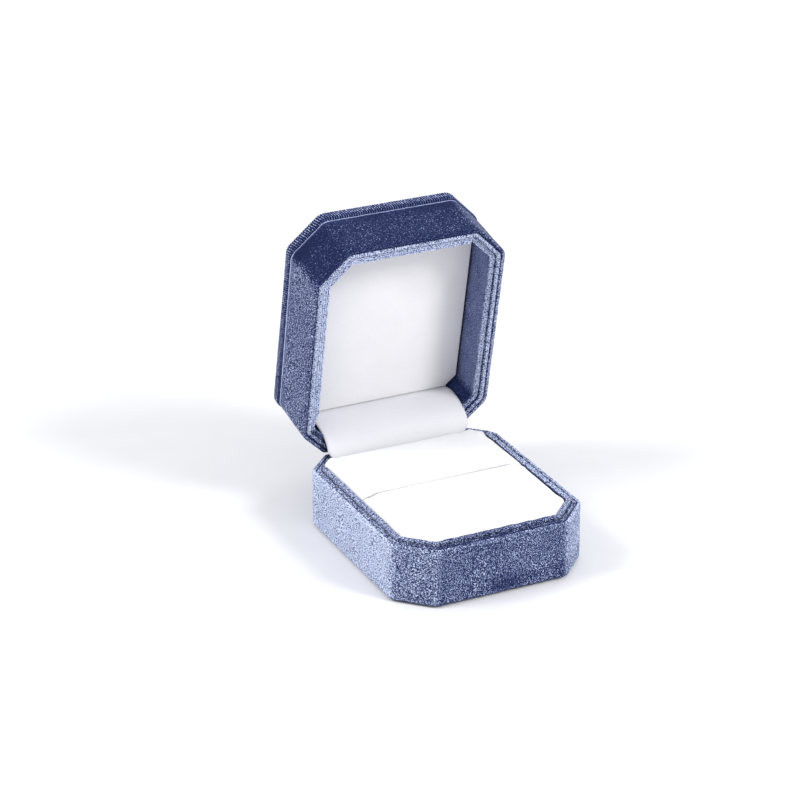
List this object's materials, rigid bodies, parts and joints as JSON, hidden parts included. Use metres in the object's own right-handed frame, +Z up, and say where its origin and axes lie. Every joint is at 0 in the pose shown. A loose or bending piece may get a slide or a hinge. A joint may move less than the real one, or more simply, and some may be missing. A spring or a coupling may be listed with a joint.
{
  "type": "ring box",
  "caption": "Velvet-covered ring box standing open: chamfered tub with a slotted white ring pad and a snap-hinged lid with a raised cap.",
  "frame": {"origin": "on the face that the box stands on, under the middle of the tub", "axes": "+X along the hinge, +Y from the front of the box towards the hinge, +Z up"},
  "size_m": [0.0616, 0.0904, 0.0914],
  "materials": {
    "blue_velvet": "short blue pile, pale at grazing angles",
    "lining_velvet": "the same velvet stretched over the lining frames, paler",
    "white_velveteen": "smooth white velveteen",
    "foam": "soft open-cell foam",
    "card": "grey board",
    "shell_plastic": "dark moulded plastic",
    "hinge_steel": "bright stamped steel"
  },
  "bodies": {
    "base": {"base_bottom_panel": "blue_velvet", "base_velvet_cover": "blue_velvet", "base_shell": "shell_plastic", "base_lining_frame": "lining_velvet", "pad_board": "card", "pad_foam_front": "foam", "pad_cover_front": "white_velveteen", "pad_foam_back": "foam", "pad_cover_back": "white_velveteen", "hinge_leaf_base": "hinge_steel", "hinge_pin": "hinge_steel", "hinge_snap_spring": "hinge_steel", "base_rivet_left": "hinge_steel", "base_rivet_right": "hinge_steel", "hinge_flap": "white_velveteen"},
    "lid": {"lid_velvet_cover": "blue_velvet", "lid_shell": "shell_plastic", "lid_lining_frame": "lining_velvet", "lid_inner_panel": "white_velveteen", "lid_panel_foam": "foam", "cap_velvet_cover": "blue_velvet", "cap_board": "card", "hinge_leaf_lid": "hinge_steel", "lid_rivet_left": "hinge_steel", "lid_rivet_right": "hinge_steel"}
  },
  "joints": [
    {"name": "lid_hinge", "type": "hinge", "parent": "base", "child": "lid", "pos_m": [0, 0.03375, 0.01862], "axis": [1, 0, 0], "range_deg": [0, 78.45], "deforming": ["hinge_flap"]}
  ]
}
